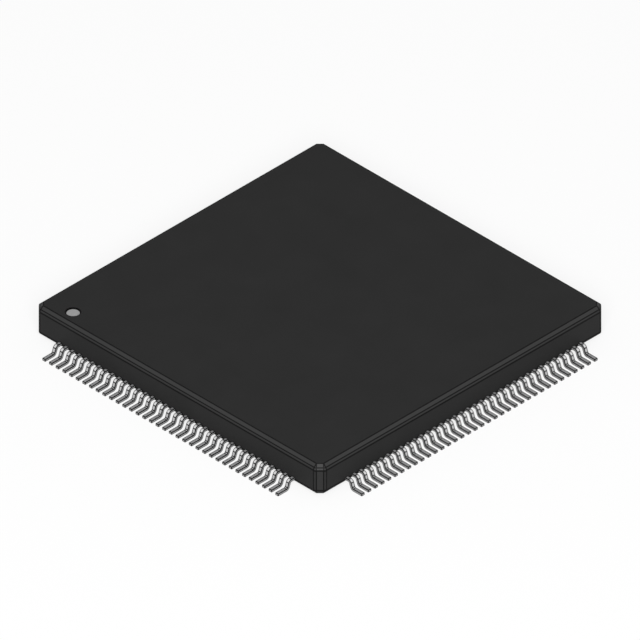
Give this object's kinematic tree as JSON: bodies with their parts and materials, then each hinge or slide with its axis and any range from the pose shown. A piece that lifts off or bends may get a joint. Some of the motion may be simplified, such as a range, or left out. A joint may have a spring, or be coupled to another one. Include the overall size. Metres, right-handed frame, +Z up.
{
  "type": "quad flat pack chip",
  "caption": "Square surface-mount chip package: black moulded body with bevelled edges, gull-wing leads on all four sides and a round pin-one dot.",
  "frame": {"origin": "middle of the package at the seating plane, the undersides of the feet", "axes": "+Z up out of the marked face, +X to the right-hand side and +Y to the back, with lead 1 at the back end of the left side"},
  "size_m": [0.0312, 0.0312, 0.0028],
  "materials": {
    "mould_compound": "matte, very finely textured",
    "tin_plating": "satin matte tin",
    "copper_alloy": "satin",
    "silver_adhesive": "matte",
    "silicon": "polished",
    "gold_wire": "bright",
    "polyimide_tape": "satin",
    "marking_ink": "matte"
  },
  "bodies": {
    "root": {"mould_body": "mould_compound", "leads_left": "tin_plating", "leads_front": "tin_plating", "leads_right": "tin_plating", "leads_back": "tin_plating", "die_pad": "copper_alloy", "die_attach": "silver_adhesive", "silicon_die": "silicon", "wires_left": "gold_wire", "wires_front": "gold_wire", "wires_right": "gold_wire", "wires_back": "gold_wire", "lead_tape": "polyimide_tape", "pin_one_dot": "marking_ink"}
  },
  "joints": []
}
